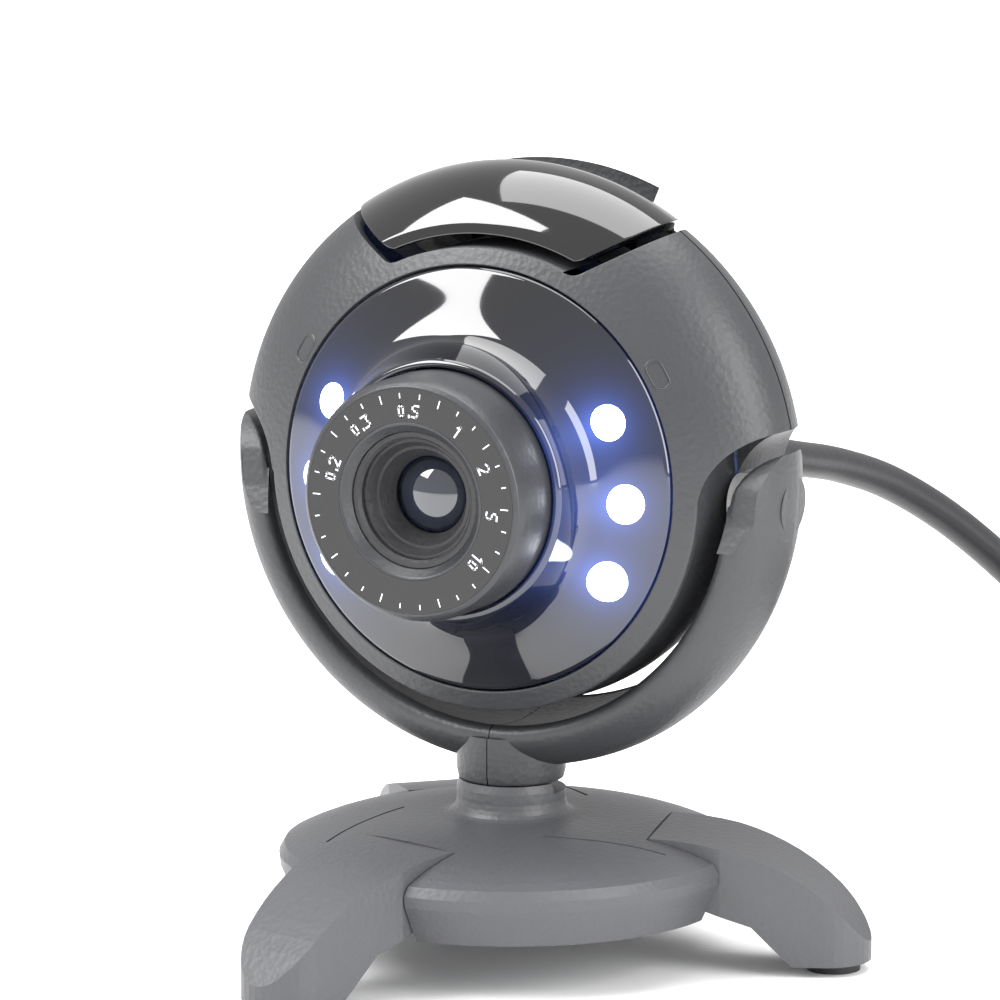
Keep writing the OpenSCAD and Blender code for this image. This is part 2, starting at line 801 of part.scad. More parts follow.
module leg(i) {
  knuckle_r = 2.45;
  inner = hinge_r - knuckle_r;
  tip_r = 4.2;
  top = bezier([inner, dome(inner) - 0.1], [inner + 7, dome(inner) - 0.15],
    [leg_reach - 4.5, 10.2], [leg_reach, 2.8], 14);
  color("dimgray") leg_place(i) difference() {
    intersection() {
      translate([0, leg_w / 2, 0]) rotate([90, 0, 0]) linear_extrude(leg_w)
        polygon(concat(top, [[leg_reach, 1], [leg_reach - 6.4, 1], [leg_reach - 10, 4.6]],
          arc([hinge_r, hinge_z], knuckle_r, -55, -180, 14)));
      linear_extrude(30) polygon(concat(
        [[inner - 1, -leg_w / 2], [hinge_r + 4, -leg_w / 2]],
        arc([leg_reach - tip_r, 0], tip_r, -80, 80, 14),
        [[hinge_r + 4, leg_w / 2], [inner - 1, leg_w / 2]]));
    }
    leg_pin_form(leg_pin_d / 2 + run, 40);
    translate([leg_reach - 3.4, 0, -1]) cylinder(r = 2.45, h = 2.9);
  }
}

module leg_1() { leg(0); }
module leg_2() { leg(1); }
module leg_3() { leg(2); }

module foot(i) {
  color("black") leg_place(i) translate([leg_reach - 3.4, 0, 0]) {
    cylinder(r = 2.4, h = 1.88);
  }
}

module foot_1() { foot(0); }
module foot_2() { foot(1); }
module foot_3() { foot(2); }

// ---- Cable ----

// A tube of eight sides along a route: each ring stands across the route at its point
module tube(route, d) {
  sides = 8;
  n = len(route);
  dir = [for (i = [0:n - 1]) let (v = route[min(i + 1, n - 1)] - route[max(i - 1, 0)]) v / norm(v)];
  ring = [for (i = [0:n - 1]) let (s0 = cross(dir[i], [0, 0, 1]), s = s0 / norm(s0), u = cross(s, dir[i]))
    each [for (k = [0:sides - 1]) route[i] + d / 2 * (cos(k * 360 / sides) * s + sin(k * 360 / sides) * u)]];
  polyhedron(ring, concat(
    [[for (k = [0:sides - 1]) k]],
    [for (i = [0:n - 2], k = [0:sides - 1]) let (a = i * sides + k, b = i * sides + (k + 1) % sides)
      [a, a + sides, b + sides, b]],
    [[for (k = [sides - 1:-1:0]) (n - 1) * sides + k]]));
}

module usb_cable() { color("black") tube(lead_route, cable_d); }
module usb_cable_tail() { color("black") tube(tail_route, cable_d); }

module usb_cable_coil() {
  color("black") translate([coil_centre[0], coil_centre[1], 0]) rotate_extrude()
    translate([coil_r, 0]) polygon(concat(
      arc([bundle / 2 - 2, 2], 2, -90, 0, 4), arc([bundle / 2 - 2, bundle - 2], 2, 0, 90, 4),
      arc([2 - bundle / 2, bundle - 2], 2, 90, 180, 4), arc([2 - bundle / 2, 2], 2, 180, 270, 4)));
}

module plug_block(w, h, y0, y1, z0) {
  translate([plug_at[0] - w / 2, plug_at[1] - y1, z0]) cube([w, y1 - y0, h]);
}

module plug_grip() {
  color("black") difference() {
    translate([plug_at[0], plug_at[1], 0]) rotate([90, 0, 0]) linear_extrude(24) hull()
      for (x = [-1, 1], z = [1.2, 6.8]) translate([x * 6.8, z]) circle(r = 1.2, $fn = 32);
    plug_block(12.04, 4.54, 18, 25, 1.73);
  }
}

module plug_shell() {
  color("silver") difference() {
    plug_block(12, 4.5, 18, 36, 1.75);
    plug_block(11.4, 3.9, 19, 37, 2.05);
  }
}

module plug_tongue() {
  color("white") plug_block(11.2, 1.8, 19.1, 35.6, 2.1);
}

front_shell();
rear_shell();
face_plate();
lamp(0);  // lamp_1
lamp(1);  // lamp_2
lamp(2);  // lamp_3
lamp(3);  // lamp_4
lamp(4);  // lamp_5
lamp(5);  // lamp_6
lamp_board();
main_board();
control_chip();
image_sensor();
lens_holder();
infrared_filter();
microphone();
microphone_sleeve();
button_board();
switch_body();
shell_screws();
strain_relief();
focus_ring();
scale_ring();
wave_washer();
lens_barrel();
front_lens();
rear_lens();
lens_retainer();
snapshot_button();
switch_plunger();
yoke_left();
yoke_right();
tilt_pin_left();
tilt_pin_right();
tilt_washer_left();
tilt_washer_right();
yoke_dowel();
swivel_post();
swivel_washer();
swivel_screw();
hub_shell();
hub_floor();
hub_screws();
leg_pins();
leg_1();
leg_2();
leg_3();
foot_1();
foot_2();
foot_3();
usb_cable();
usb_cable_coil();
usb_cable_tail();
plug_grip();
plug_shell();
plug_tongue();
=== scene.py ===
# %% [markdown]
# # A desk webcam on a small tripod
# The solid parts come ready from the frame. This notebook gives every part its surface,
# adds the cable as one continuous cord, prints the focus scale, and sets up the stage.

# %% Frame and tools
import math
import bpy
import numpy as np
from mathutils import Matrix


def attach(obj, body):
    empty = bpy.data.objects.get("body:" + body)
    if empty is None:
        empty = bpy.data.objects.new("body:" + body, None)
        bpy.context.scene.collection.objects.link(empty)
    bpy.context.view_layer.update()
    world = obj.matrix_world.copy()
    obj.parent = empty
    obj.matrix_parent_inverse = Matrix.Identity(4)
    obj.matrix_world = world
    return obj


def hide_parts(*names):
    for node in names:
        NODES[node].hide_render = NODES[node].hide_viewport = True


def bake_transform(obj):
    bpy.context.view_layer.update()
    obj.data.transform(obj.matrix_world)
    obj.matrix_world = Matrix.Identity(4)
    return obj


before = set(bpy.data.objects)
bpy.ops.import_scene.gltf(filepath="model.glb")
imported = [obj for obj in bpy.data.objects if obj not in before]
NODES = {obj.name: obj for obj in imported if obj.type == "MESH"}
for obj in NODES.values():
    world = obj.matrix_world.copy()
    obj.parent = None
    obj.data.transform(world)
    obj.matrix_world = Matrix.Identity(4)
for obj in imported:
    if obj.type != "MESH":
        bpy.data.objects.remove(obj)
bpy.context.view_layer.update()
HEAD = 0.0445
MM = 0.001
print("parts loaded:", len(NODES))

# %% [markdown]
# ## Shader arithmetic
# `Val` wraps one output socket. Its operators add Math nodes, so a pattern reads as the
# formula that it is. `Look` builds one material around a Principled shader.

# %% Shader arithmetic
class Val:
    def __init__(self, look, socket):
        self.look = look
        self.socket = socket

    def op(self, name, *others, clamp=False):
        node = self.look.tree.nodes.new("ShaderNodeMath")
        node.operation = name
        node.use_clamp = clamp
        for i, value in enumerate((self,) + others):
            self.look.put(node.inputs[i], value)
        return Val(self.look, node.outputs[0])

    def __add__(self, o): return self.op("ADD", o)
    def __sub__(self, o): return self.op("SUBTRACT", o)
    def __rsub__(self, o): return (self * -1) + o
    def __mul__(self, o): return self.op("MULTIPLY", o)
    def __rmul__(self, o): return self.op("MULTIPLY", o)
    def __pow__(self, o): return self.op("POWER", o)
    def sqrt(self): return self.op("SQRT")
    def low(self, o): return self.op("MINIMUM", o)
    def unit(self): return self.op("ADD", 0.0, clamp=True)
    def ramp(self, a, b): return ((self - a) * (1.0 / (b - a))).unit()


class Look:
    def __init__(self, name):
        self.mat = bpy.data.materials.new(name)
        self.mat.use_nodes = True
        self.tree = self.mat.node_tree
        self.tree.nodes.clear()
        self.shader = self.tree.nodes.new("ShaderNodeBsdfPrincipled")
        end = self.tree.nodes.new("ShaderNodeOutputMaterial")
        self.tree.links.new(self.shader.outputs[0], end.inputs[0])
        place = self.tree.nodes.new("ShaderNodeTexCoord")
        self.place = place.outputs["Object"]
        split = self.add("ShaderNodeSeparateXYZ", {}, {"Vector": self.place})
        self.x, self.y, self.z = (Val(self, split.outputs[i]) for i in range(3))

    def put(self, socket, value):
        if isinstance(value, Val):
            value = value.socket
        if isinstance(value, bpy.types.NodeSocket):
            self.tree.links.new(value, socket)
        else:
            socket.default_value = value

    def add(self, kind, settings, inputs):
        node = self.tree.nodes.new(kind)
        for key, value in settings.items():
            setattr(node, key, value)
        for key, value in inputs.items():
            self.put(node.inputs[key], value)
        return node

    def noise(self, scale, detail=2.0, rough=0.5):
        node = self.add("ShaderNodeTexNoise", {}, {"Vector": self.place,
                        "Scale": scale, "Detail": detail, "Roughness": rough})
        return Val(self, node.outputs[0])

    def cells(self, scale):
        node = self.add("ShaderNodeTexVoronoi", {}, {"Vector": self.place, "Scale": scale})
        return Val(self, node.outputs["Distance"])

    def mix(self, amount, a, b):
        node = self.add("ShaderNodeMix", {"data_type": "RGBA"}, {"Factor": amount})
        for socket, value in ((node.inputs[6], a), (node.inputs[7], b)):
            self.put(socket, value if isinstance(value, Val) else (*value, 1.0))
        return Val(self, node.outputs[2])

    def bump(self, height, depth, strength=1.0):
        node = self.add("ShaderNodeBump", {}, {"Height": height, "Distance": depth,
                        "Strength": strength})
        return Val(self, node.outputs[0])

    def set(self, **values):
        for key, value in values.items():
            name = key.replace("_", " ").title().replace("Ior", "IOR")
            if isinstance(value, tuple):
                value = (*value, 1.0)
            self.put(self.shader.inputs[name], value)
        return self


def dress(look, *names):
    for name in names:
        mesh = NODES[name].data
        mesh.materials.clear()
        mesh.materials.append(look.mat)


# %% [markdown]
# ## Moulded plastic
# A spark-eroded mould leaves a fine grain: two layers of noise a few tenths of a
# millimetre wide, as bump, with a slow change of sheen over it.

# %% Plastics
def grained(name, colour, rough, grain=0.00006, size=3200):
    look = Look(name)
    fine = look.noise(size, 2.0, 0.6)
    pits = look.cells(size * 0.55)
    slow = look.noise(60, 3.0)
    tone = (fine * 0.5 + slow * 0.7 - 0.1).unit()
    light = tuple(c * 1.22 for c in colour)
    dark = tuple(c * 0.84 for c in colour)
    return look.set(base_color=look.mix(tone, dark, light),
                    roughness=slow * 0.10 + fine * 0.06 + (rough - 0.08),
                    normal=look.bump(fine * 0.6 + pits, grain, 0.55))


shell = grained("head_plastic", (0.030, 0.031, 0.034), 0.42)
yoke_plastic = grained("yoke_plastic", (0.034, 0.035, 0.038), 0.44)
base = grained("base_plastic", (0.060, 0.061, 0.066), 0.46)
inner = grained("inner_plastic", (0.018, 0.018, 0.020), 0.5)
knob = grained("knob_plastic", (0.022, 0.023, 0.026), 0.36, 0.00003)
dress(shell, "front_shell", "rear_shell", "tilt_pin_left", "tilt_pin_right")
dress(yoke_plastic, "yoke_left", "yoke_right", "swivel_post")
dress(base, "hub_shell", "hub_floor", "leg_1", "leg_2", "leg_3")
dress(inner, "lens_holder", "lens_barrel", "lens_retainer", "switch_body", "control_chip",
      "image_sensor")
dress(knob, "focus_ring")
print("plastics done")

# %% Piano black
def gloss(name, glow):
    """Black lacquer look; with glow on, the lacquer itself emits a painted blue halo round each lamp, falling
    off as 1 / (1 + (d/k)^2).
    """
    look = Look(name)
    wipe = look.noise(900, 2.0)
    haze = look.noise(45, 3.0)
    look.set(base_color=(0.003, 0.003, 0.0035), roughness=haze * 0.05 + wipe * 0.02 + 0.02,
             coat_weight=0.6, coat_roughness=0.02, specular_ior_level=0.6)
    if glow:
        # Painted light: the lacquer emits the lamps' blue halo itself, though the plate is no lamp.
        painted_halo = None
        for x, z in LAMPS:
            d2 = (look.x - x) ** 2.0 + (look.z - z) ** 2.0
            one = 1.0 * (d2 * (1.0 / 0.0022 ** 2) + 1.0) ** -1.6
            painted_halo = one if painted_halo is None else painted_halo + one
        look.set(emission_color=look.mix(painted_halo.unit(), (0.0, 0.0, 0.0), (0.10, 0.22, 1.0)),
                 emission_strength=1.0)
    return look


STEP = math.radians(27.6)
LAMP_RING = 0.01466
LAMP_DROP = 0.0008
LAMPS = [(s * LAMP_RING * math.cos(q * STEP), HEAD - LAMP_DROP + LAMP_RING * math.sin(q * STEP))
         for s in (1, -1) for q in (-1, 0, 1)]
dress(gloss("hidden_gloss", False), "face_plate", "snapshot_button")

# %% Lamps
lamp = Look("lamp_lit")
centre = None
for x, z in LAMPS:
    d = ((lamp.x - x) ** 2.0 + (lamp.z - z) ** 2.0).sqrt()
    centre = d if centre is None else centre.low(d)
core = 1.0 - centre.ramp(0.0008, 0.0026)
lamp.set(base_color=(0.8, 0.87, 1.0), roughness=0.12,
         emission_color=lamp.mix(core, (0.16, 0.32, 1.0), (1.0, 1.0, 1.0)), emission_strength=9.0)
dress(lamp, *["lamp_%d" % i for i in range(1, 7)])

# %% Metals, rubber, glass and boards
def metal(name, colour, rough, scratch):
    look = Look(name)
    lines = look.noise(2600, 3.0)
    return look.set(base_color=colour, metallic=1.0, roughness=lines * 0.18 + (rough - 0.06),
                    normal=look.bump(lines, scratch, 0.3))


steel = metal("steel", (0.55, 0.56, 0.58), 0.34, 0.00001)
nickel = metal("plug_nickel", (0.72, 0.72, 0.74), 0.2, 0.000008)
dress(steel, "shell_screws", "wave_washer", "yoke_dowel", "swivel_washer", "swivel_screw",
      "hub_screws", "leg_pins", "microphone")
dress(nickel, "plug_shell")
white = Look("white_nylon")
white.set(base_color=(0.72, 0.72, 0.70), roughness=white.noise(700) * 0.1 + 0.4)
dress(white, "tilt_washer_left", "tilt_washer_right", "switch_plunger", "plug_tongue")
rubber = grained("rubber", (0.014, 0.014, 0.015), 0.62, 0.00008, 1700)
jacket = grained("cable_jacket", (0.016, 0.016, 0.018), 0.42, 0.00003, 2400)
dress(rubber, "foot_1", "foot_2", "foot_3", "microphone_sleeve")
dress(jacket, "strain_relief", "plug_grip", "usb_cable", "usb_cable_coil", "usb_cable_tail")
board = Look("solder_mask")
tracks = board.noise(900, 0.0).ramp(0.52, 0.56)
board.set(base_color=board.mix(tracks, (0.004, 0.05, 0.018), (0.012, 0.11, 0.04)), roughness=0.3,
          normal=board.bump(tracks, 0.00003, 0.6))
dress(board, "lamp_board", "main_board", "button_board")
glass = Look("coated_glass")
glass.set(base_color=(0.012, 0.016, 0.028), roughness=0.01, coat_weight=1.0, coat_roughness=0.0,
          specular_ior_level=0.9)
dress(glass, "front_lens", "rear_lens", "infrared_filter")
scale_face = Look("scale_face")
scale_face.set(base_color=(0.006, 0.006, 0.007), roughness=scale_face.noise(1500) * 0.06 + 0.16)
dress(scale_face, "scale_ring")
print("materials:", len(bpy.data.materials))

# %% [markdown]
# ## Smooth skins
# The outer shells are surfaces of revolution about the lens axis, trimmed in the front
# view. Each skin is a grid: a row for every point (r, f) of a profile, where r is the
# radius and f the distance ahead, and a column for every angle between two trim angles.

# %% Curves and grids
def bezier(a, b, c, d, n=30):
    """(1-t)^3 a + 3 t (1-t)^2 b + 3 t^2 (1-t) c + t^3 d."""
    t = np.linspace(0, 1, n)[:, None]
    a, b, c, d = (np.array(p, float) for p in (a, b, c, d))
    return (1 - t) ** 3 * a + 3 * t * (1 - t) ** 2 * b + 3 * t ** 2 * (1 - t) * c + t ** 3 * d


def arc(cx, cy, r, start, end, n=24):
    """(cx + r cos q, cy + r sin q), with q in degrees."""
    q = np.radians(np.linspace(start, end, n))
    return np.stack([cx + r * np.cos(q), cy + r * np.sin(q)], axis=1)


def rounded(points, r, n=5):
    """Each sharp corner p becomes (1-t)^2 (p + k d) + 2 t (1-t) p + t^2 (p + k e)."""
    p = np.asarray(points, float)
    t = np.linspace(0, 1, n)[:, None]
    out = [p[:1]]
    for a, b, c in zip(p[:-2], p[1:-1], p[2:]):
        d, e = a - b, c - b
        ld, le = np.linalg.norm(d), np.linalg.norm(e)
        if ld < 1e-6 or le < 1e-6 or d @ e / (ld * le) < -0.94:
            out.append(b[None])
            continue
        k = min(r, 0.45 * ld, 0.45 * le)
        curve = (1 - t) ** 2 * (b + k * d / ld) + 2 * t * (1 - t) * b + t ** 2 * (b + k * e / le)
        out += [b[None] + min(1.4 * k, 0.49 * ld) * d / ld, curve,
                b[None] + min(1.4 * k, 0.49 * le) * e / le]
    return np.vstack(out + [p[-1:]])


def join(name, *grids):
    """One mesh from several grids of points, welded where their edges meet."""
    verts, faces, base_index = [], [], 0
    for points in grids:
        rows, cols = points.shape[:2]
        i = np.arange(rows - 1)[:, None] * cols + base_index
        j = np.arange(cols - 1)[None, :]
        quads = np.stack([i + j, i + j + 1, i + cols + j + 1, i + cols + j], axis=-1)
        faces.append(quads.reshape(-1, 4))
        verts.append(points.reshape(-1, 3))
        base_index += rows * cols
    verts, faces = np.vstack(verts), np.vstack(faces)
    key, first, same = np.unique(np.round(verts, 7), axis=0, return_index=True, return_inverse=True)
    faces = same.ravel()[faces]
    mesh = bpy.data.meshes.new(name)
    mesh.from_pydata(verts[first].tolist(), [], faces.tolist())
    mesh.validate()
    mesh.polygons.foreach_set("use_smooth", [True] * len(mesh.polygons))
    mesh.update()
    obj = bpy.data.objects.new(name, mesh)
    bpy.context.collection.objects.link(obj)
    return obj


def polar(profile, start, end, cols):
    """(r cos q, -f, head + r sin q) in metres; q runs from start to end in each row."""
    p = np.asarray(profile, float)
    s = np.linspace(0, 1, cols)[None, :]
    q = np.broadcast_to(np.asarray(start, float), p.shape[:1])[:, None] * (1 - s) \
        + np.broadcast_to(np.asarray(end, float), p.shape[:1])[:, None] * s
    r, f = p[:, :1], np.repeat(p[:, 1:], cols, axis=1)
    return MM * np.stack([r * np.cos(q), -f, HEAD / MM + r * np.sin(q)], axis=-1)


def mirrored(grid):
    """The same grid on the other side, wound so that its faces still look outward."""
    return (grid * np.array([-1, 1, 1]))[:, ::-1]


def thick(obj, depth, bevel):
    wall = obj.modifiers.new("wall", "SOLIDIFY")
    wall.thickness = depth * MM
    wall.offset = -1.0
    wall.use_even_offset = False
    edge = obj.modifiers.new("edge", "BEVEL")
    edge.width = bevel * MM
    edge.segments = 2
    edge.limit_method = "ANGLE"
    edge.angle_limit = math.radians(50)
    edge.use_clamp_overlap = True
    return obj


def skin(obj, look, body, slot, *nodes):
    obj.data.materials.append(look.mat)
    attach(obj, body)
    if nodes:
        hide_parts(*nodes)
    print("%-16s %6d points" % (obj.name, len(obj.data.vertices)))
    return obj


def turned(name, profile, sides=200):
    return join(name, polar(profile, 2 * math.pi, 0, sides))


# %% [markdown]
# ## Head shell
# The upper shell stops at the shoulders, where circles round the arms' tops cut it, and
# at the button's cut-out. Trim angles follow from where two circles meet.

# %% Head shell
def meet(r, cx, cz, big):
    """Angle at which the circle of radius r meets the one of radius big about (cx, cz)."""
    far = math.hypot(cx, cz)
    cosine = (r * r + far ** 2 - big ** 2) / (2 * r * far)
    return math.atan2(cz, cx) + np.arccos(np.clip(cosine, -1, 1))


PIVOT_X, DROP, BACK = 28.0, -1.6, 1.5
BALL, SOCKET, RIM = 21.4, 23.4, 27.25


def cutout(lift):
    """Radius and angle along the cut-out's corner and side, raised by lift."""
    edge = np.vstack([arc(9.0, 20.29, 1.6, 246, 298, 16), [[9.75 + 30 * 0.883, 18.88 + 30 * 0.469]]])
    fine = np.vstack([edge[:-1], edge[-2] + np.linspace(0, 1, 80)[1:, None] * (edge[-1] - edge[-2])])
    x, z = fine[:, 0], fine[:, 1] + lift
    return np.hypot(x, z), np.arctan2(z, x)


def upper(g):
    """The upper shell's front profile from rim to widest point, grown by g."""
    return bezier((19.2 + 0.4 * g, 6.9 + g), (23.6 + 0.4 * g, 5.0 + 0.9 * g),
                  (27.1 + 0.9 * g, 2.6 + 0.45 * g), (RIM + g, -BACK), 70)


def upper_rear(g, n=50):
    return bezier((RIM + g, -BACK), (RIM - 0.1 + g, -4.3 - 0.1 * g),
                  (24.2 + 0.85 * g, -11 - 0.55 * g), (16.9 + 0.5 * g, -14.62 - 0.87 * g), n)


front = upper(0)
notch_r, notch_q = cutout(0)
fold = 20.6
inner_r = np.linspace(19.2, fold, 14)
inner_rows = np.stack([inner_r, np.interp(inner_r, front[:, 0], front[:, 1])], axis=1)
outer_rows = np.vstack([front[(front[:, 0] > fold + 0.05) & (front[:, 0] < 27.23)],
                        [[27.24, -1.28], [27.17, -1.38], [27.05, -1.44]]])
rows = np.vstack([inner_rows, outer_rows])
start = np.where(rows[:, 0] < 21.15, np.radians(-4.2), meet(rows[:, 0], PIVOT_X, DROP, 6.9))
start[rows[:, 0] < 21.15] = np.linspace(start[0], meet(21.15, PIVOT_X, DROP, 6.9), (rows[:, 0] < 21.15).sum())
corner = float(np.interp(fold, notch_r, notch_q))
end = np.where(rows[:, 0] <= fold + 1e-6, corner, np.interp(rows[:, 0], notch_r, notch_q))
side = polar(rows, end, start, 150)
middle = polar(inner_rows, math.pi - corner, corner, 81)
head_front = join("head_front", side, mirrored(side), middle)
skin(thick(head_front, 1.4, 0.14), shell, "head", "body_plastic", "front_shell")

lip = rounded([(17.8, 5.42), (19.12, 5.45), (19.14, 6.9), (21.1, 5.9), (21.1, 5.1), (20.45, 4.7)], 0.22)
ball = arc(0, -BACK, BALL, 16.4, 0.3, 30)
skin(join("head_lower", polar(np.vstack([lip, ball[1:]]), math.radians(18), math.radians(-198), 220)),
     shell, "head", "body_plastic")
trough_q = np.linspace(math.pi - corner - 0.02, corner + 0.02, 60)
trough_f = np.array([6.2, 6.0, -8.4, -8.4])
trough_r = np.array([19.6, 20.58, 20.58, 27.0])
trough = MM * np.stack([trough_r[:, None] * np.cos(trough_q), -np.repeat(trough_f[:, None], 60, 1),
                        HEAD / MM + trough_r[:, None] * np.sin(trough_q)], axis=-1)
skin(join("button_trough", trough[:, ::-1]), shell, "head", "body_plastic")

# %% Snapshot button
cap_front = upper(0.3)
cap_front = cap_front[cap_front[:, 0] > 21.8]
cap_rear = upper_rear(0.3)
cap_edge = [21.75, float(np.interp(21.75, upper(0.3)[:, 0], upper(0.3)[:, 1]))]
cap = np.vstack([[cap_edge], cap_front, cap_rear[1:][cap_rear[1:, 1] > -7.8]])
cap_r, cap_q = cutout(1.2)
bevelled = np.clip((22.7 - cap[:, 0]) / 0.95, 0, 1) * (cap[:, 1] > 0)
trim = np.interp(cap[:, 0], cap_r[cap_r > 21.74], cap_q[cap_r > 21.74])
cap_rows = cap - np.stack([0 * bevelled, 0.42 * bevelled], axis=1)
button = join("button_cap", polar(cap_rows, math.pi - trim, trim, 120))
button_look = gloss("button_gloss", False)
skin(thick(button, 1.1, 0.12), button_look, "button", "gloss_black", "snapshot_button")

# %% [markdown]
# ## Yoke
# Each half is one closed band: the outer profile from the lip to the rear edge, and the
# ball-shaped inside back to the lip. The arm's top is where the circle round its end,
# seen from the front, or the rounded outline seen from the side, stops it first.

# %% Yoke
yoke_out = np.vstack([
    bezier((22.92, 3.7), (23.0, 4.6), (23.9, 4.72), (24.6, 4.35), 14),
    bezier((24.75, 4.28), (26.2, 3.4), (27.2, 1.4), (RIM, -BACK), 40),
    upper_rear(0, 50)[1:28]])
yoke_end = rounded([yoke_out[-1], (23.9, -8.62), (22.5, -8.62), (22.28, -8.5)], 0.25)[1:]
yoke_in = arc(0, -BACK, SOCKET, -17.4, 12.6, 26)
loop = np.vstack([yoke_out, yoke_end, yoke_in, yoke_out[:1]])


def arm_top(r, f):
    """Trim angle of the right arm at radius r, distance ahead f."""
    y = -f - BACK
    curve = DROP + np.sqrt(np.clip(5.2 ** 2 - y ** 2, 0, None))
    front_side = -2.43 + (y + 5.04) * 2.82
    rear_side = -2.43 - (y - 5.04) * 2.09
    top = np.where(y < -5.04, front_side, np.where(y > 5.04, rear_side, curve))
    return np.minimum(meet(r, PIVOT_X, DROP, 4.9), np.arcsin(np.clip(top / r, -1, 1)))


top = arm_top(loop[:, 0], loop[:, 1])
half = polar(loop, top, -math.pi / 2 + 0.05 / 25, 230)
ahead = np.linspace(4.55, -8.6, 70)
smooth_part = yoke_out[12:]
r_out = np.interp(ahead, smooth_part[::-1, 1], smooth_part[::-1, 0])
r_in = np.where(ahead > 3.5, 22.95, np.sqrt(SOCKET ** 2 - (np.minimum(ahead, 3.6) + BACK) ** 2))
s = np.linspace(0, 1, 14)[:, None]
r = r_in * (1 - s) + r_out * s
q = arm_top(r, np.broadcast_to(ahead, r.shape))
end_cap = MM * np.stack([r * np.cos(q), -np.broadcast_to(ahead, r.shape), HEAD / MM + r * np.sin(q)],
                        axis=-1)


def upright(profile, start, end, cols):
    """(r cos q, r sin q, z) in metres for a profile of (r, z) about the stem's axis."""
    p = np.asarray(profile, float)
    q = np.linspace(start, end, cols)[None, :]
    return MM * np.stack([p[:, :1] * np.cos(q), p[:, :1] * np.sin(q),
                          np.repeat(p[:, 1:], cols, axis=1)], axis=-1)


stem = upright(rounded([(2.4, 16.3), (4.75, 16.3), (4.93, 17.1), (4.93, 20.6)], 0.18),
               -math.pi / 2 + 0.01, math.pi / 2 - 0.01, 90)
for name, grids in (("right", (half, end_cap, stem)),
                    ("left", (mirrored(half), mirrored(end_cap), mirrored(stem)))):
    skin(join("yoke_skin_" + name, *grids), yoke_plastic, "yoke", "body_plastic", "yoke_" + name)

# %% Face plate, focus ring and front lens
plate = np.vstack([
    rounded([(17.2, 5.5), (19.0, 5.5), (19.0, 6.78), (18.72, 7.1)], 0.12)[:-1],
    bezier((18.72, 7.1), (16.0, 8.2), (14.2, 8.6), (13.2, 9.5), 50),
    bezier((13.2, 9.5), (12.4, 10.3), (11.9, 12.4), (11.72, 13.65), 40)[1:],
    rounded([(11.7, 13.75), (11.4, 14.0), (11.0, 14.0), (11.0, 10.8)], 0.15)])
# The face plate's lacquer carries the painted blue halo round the lamps.
skin(turned("face_disc", plate), gloss("face_gloss_painted_halo", True), "head", "gloss_black", "face_plate")
ring = rounded([(8.4, 9.2), (11.25, 9.2), (11.25, 10.2), (10.8, 10.2), (10.8, 18.5), (10.45, 19.5),
                (10.12, 19.8), (9.98, 19.8), (9.98, 19.4), (6.97, 19.4), (6.97, 19.8), (6.77, 19.8),
                (6.2, 19.2), (6.05, 19.05), (6.05, 14.0)], 0.09)
skin(turned("focus_knob", ring), knob, "focus", "body_plastic", "focus_ring")
dome = np.vstack([[[3.7, 13.7], [3.7, 15.2]], arc(0, 12.2, 4.6, 42.3, 89.9, 40)])
skin(turned("lens_dome", dome, 96), glass, "lens", "coated_glass", "front_lens")

# %% [markdown]
# ## Focus scale
# Ticks and plain distance numbers, drawn as ribbons: each stroke is a rectangle laid
# along the ring, bent to it by taking x as an angle.

# %% Focus scale
STROKES = {
    "1": [[(0.3, 0.8), (0.55, 1), (0.55, 0)]],
    "2": [[(0, 0.85), (0.3, 1), (0.7, 0.9), (0.7, 0.6), (0, 0), (0.75, 0)]],
    "3": [[(0, 1), (0.7, 1), (0.35, 0.58), (0.7, 0.4), (0.6, 0.05), (0, 0.05)]],
    "4": [[(0.55, 0), (0.55, 1), (0, 0.3), (0.75, 0.3)]],
    "5": [[(0.7, 1), (0.1, 1), (0.05, 0.55), (0.55, 0.55), (0.7, 0.3), (0.5, 0), (0, 0.05)]],
    "0": [[(0.1, 0.2), (0.1, 0.8), (0.35, 1), (0.6, 0.8), (0.6, 0.2), (0.35, 0), (0.1, 0.2)]],
    ".": [[(0.2, 0), (0.2, 0.12)]]}


def ribbons(strokes, width):
    """Corners a, b of each segment moved by half a width along its normal."""
    seg = np.array([[p, q] for line_ in strokes for p, q in zip(line_[:-1], line_[1:])], float)
    way = seg[:, 1] - seg[:, 0]
    unit = way / np.linalg.norm(way, axis=1)[:, None]
    n = np.stack([-unit[:, 1], unit[:, 0]], axis=1) * width / 2
    a, b = seg[:, 0] - unit * width / 2, seg[:, 1] + unit * width / 2
    return np.stack([a - n, b - n, b + n, a + n], axis=1)


def print_ring(name, quads, body, slot, look, f):
    """Quads of (angle in degrees, radius) laid flat at the distance f ahead."""
    quads = np.asarray(quads, float)
    q = np.radians(quads[..., 0])
    r = quads[..., 1]
    verts = MM * np.stack([r * np.cos(q), np.full(q.shape, -f), HEAD / MM + r * np.sin(q)], axis=-1)
    faces = np.arange(len(quads) * 4).reshape(-1, 4)
    mesh = bpy.data.meshes.new(name)
    mesh.from_pydata(verts.reshape(-1, 3).tolist(), [], faces[:, ::-1].tolist())
    mesh.update()
    obj = bpy.data.objects.new(name, mesh)
    bpy.context.collection.objects.link(obj)
    return skin(obj, look, body, slot)


